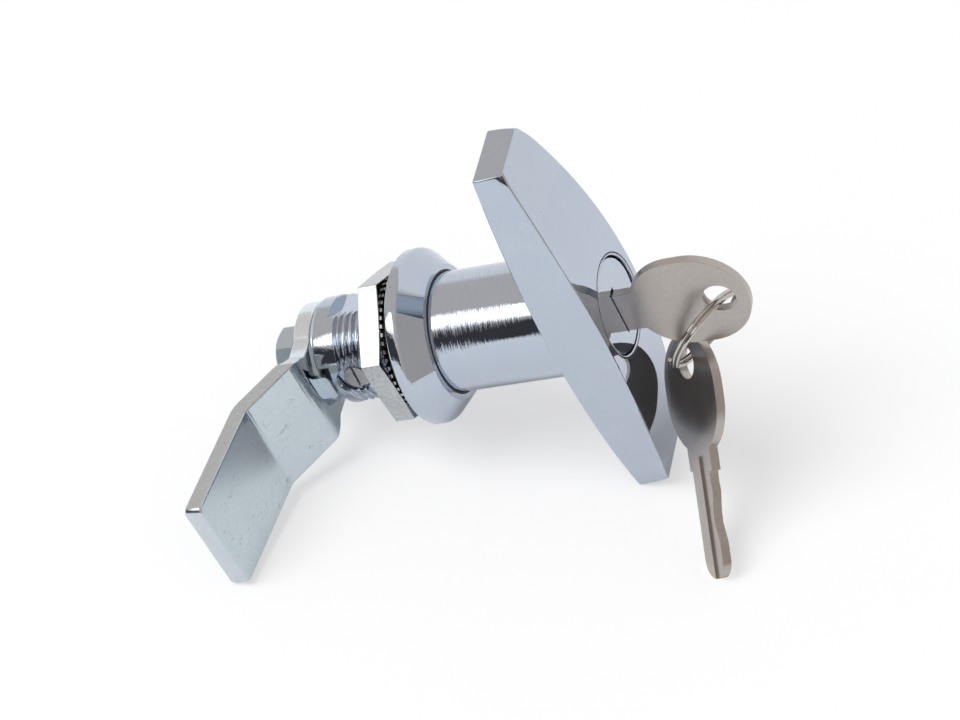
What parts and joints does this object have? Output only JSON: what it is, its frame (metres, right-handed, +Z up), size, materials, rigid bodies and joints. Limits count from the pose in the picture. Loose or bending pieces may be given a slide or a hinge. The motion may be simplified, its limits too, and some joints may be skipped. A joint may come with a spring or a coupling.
{
  "type": "t-handle toolbox lock",
  "caption": "Chromed T-handle lock with a round flange, threaded barrel, panel nut, stepped latch cam, key cylinder and keys on a split ring.",
  "frame": {"origin": "centre of the flange's flat back face, which seats on the panel", "axes": "+Y along the lock's axis into the box, so the handle faces -Y; +Z up along the bar in the locked position; -X towards the cam"},
  "size_m": [0.0688, 0.1043, 0.0941],
  "materials": {
    "chrome": "polished chrome plate",
    "zinc": "bright zinc plate",
    "nickel": "worn nickel plate",
    "steel": "turned steel",
    "black_steel": "black oxide",
    "brass": "machined brass",
    "rubber": "matt"
  },
  "bodies": {
    "body": {"flange_body": "chrome", "boss_seal": "rubber", "lock_washer": "black_steel", "hex_nut": "zinc", "retaining_screw": "steel"},
    "handle": {"t_handle": "chrome", "spindle": "steel", "spindle_screws": "steel", "stop_washer": "zinc", "latch_cam": "zinc", "spring_washer": "steel", "cam_bolt": "zinc"},
    "plug": {"lock_plug": "brass", "plug_cap": "chrome", "wafers": "brass", "wafer_springs": "steel", "plug_retainer": "brass", "tail_driver": "steel"},
    "bolt": {"lock_bolt": "steel"},
    "key": {"key_in_lock": "nickel"},
    "ring": {"key_ring": "nickel"},
    "spare": {"spare_key": "nickel"}
  },
  "joints": [
    {"name": "handle_turn", "type": "hinge", "parent": "body", "child": "handle", "pos_m": [0, 0, 0], "axis": [0, -1, 0], "range_deg": [0, 90]},
    {"name": "key_turn", "type": "hinge", "parent": "handle", "child": "plug", "pos_m": [0, -0.03, 0], "axis": [0, 1, 0], "range_deg": [0, 90]},
    {"name": "bolt_slide", "type": "slide", "parent": "handle", "child": "bolt", "axis": [1, 0, 0], "range_m": [0, 0.0018]},
    {"name": "key_pull", "type": "slide", "parent": "plug", "child": "key", "axis": [0, -1, 0], "range_m": [0, 0.024]},
    {"name": "ring_swing", "type": "hinge", "parent": "key", "child": "ring", "pos_m": [0, -0.06229, -0.00266], "axis": [1, 0, 0], "range_deg": [-20, 0]},
    {"name": "spare_swing", "type": "hinge", "parent": "ring", "child": "spare", "pos_m": [0.00077, -0.05105, -0.01751], "axis": [-0.536, 0.6721, 0.5108], "range_deg": [-6, 12]}
  ],
  "couplings": [
    {"joint": "bolt_slide", "follows": "key_turn", "m_per_rad": 0.0011459}
  ]
}
